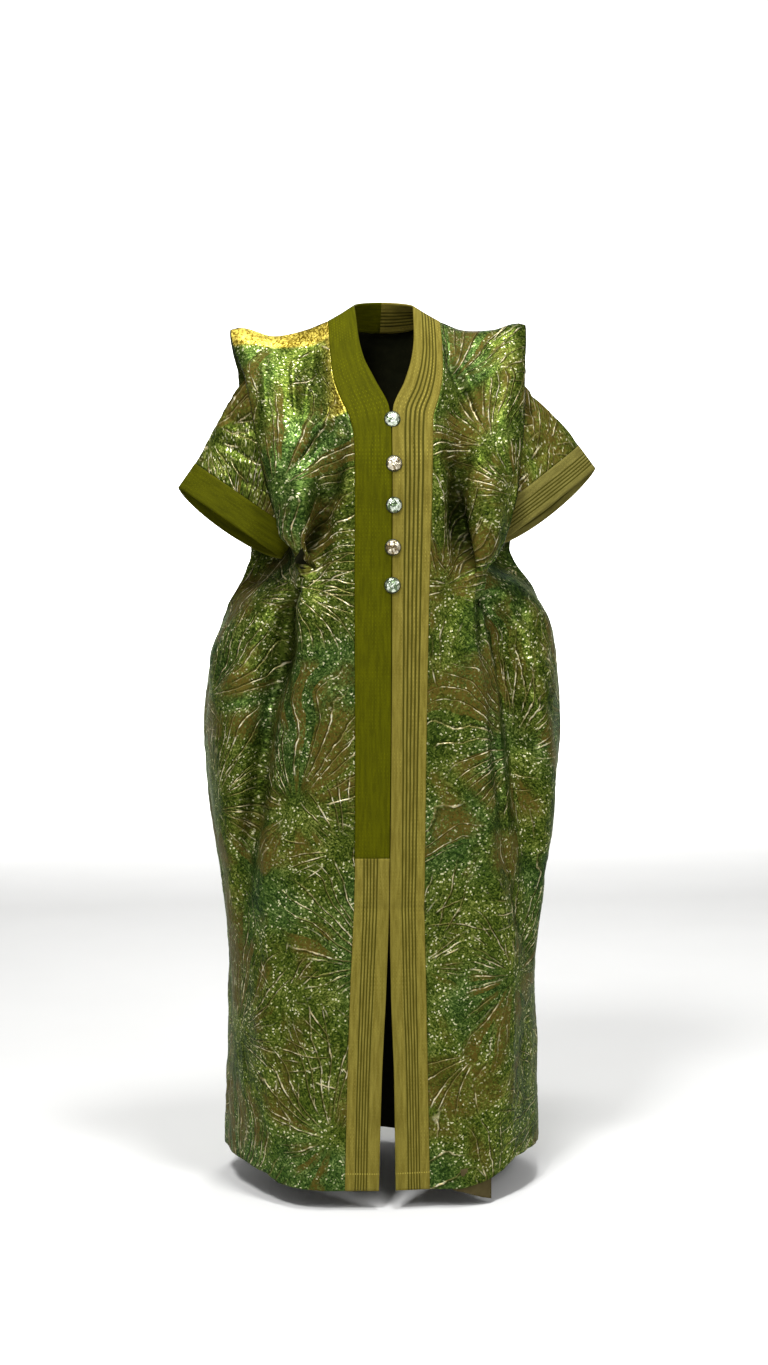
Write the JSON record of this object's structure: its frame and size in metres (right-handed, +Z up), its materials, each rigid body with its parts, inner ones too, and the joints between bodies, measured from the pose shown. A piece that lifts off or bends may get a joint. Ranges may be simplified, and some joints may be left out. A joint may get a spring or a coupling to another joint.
{
  "type": "grand boubou robe",
  "caption": "Long brocade robe with short wide sleeves, a contrasting band round the V neck and down the front to an open slit, and domed buttons, in the hollow form it has when worn.",
  "frame": {"origin": "midway between the two neck points of the shoulder seam, where the wearer's shoulders hold the robe", "axes": "+Z up towards the wearer's head, +X towards the wearer's left, -Y to the front"},
  "size_m": [0.7104, 0.4205, 1.4776],
  "materials": {
    "brocade": "metallic jacquard in greens and brown",
    "olive_band": "matt, finely stitched",
    "striped_band": "khaki with dark woven stripes",
    "foil_button": "crumpled foil under glass",
    "plain_khaki": "plain, dark"
  },
  "bodies": {
    "root": {"front_right": "brocade", "front_left": "brocade", "back": "brocade", "sleeve_right": "brocade", "sleeve_left": "brocade", "cuff_right": "olive_band", "cuff_left": "striped_band", "band_right_upper": "olive_band", "band_right_lower": "striped_band", "band_left": "striped_band", "button_1": "foil_button", "button_2": "foil_button", "button_3": "foil_button", "button_4": "foil_button", "button_5": "foil_button", "hem_corner": "plain_khaki"}
  },
  "joints": []
}
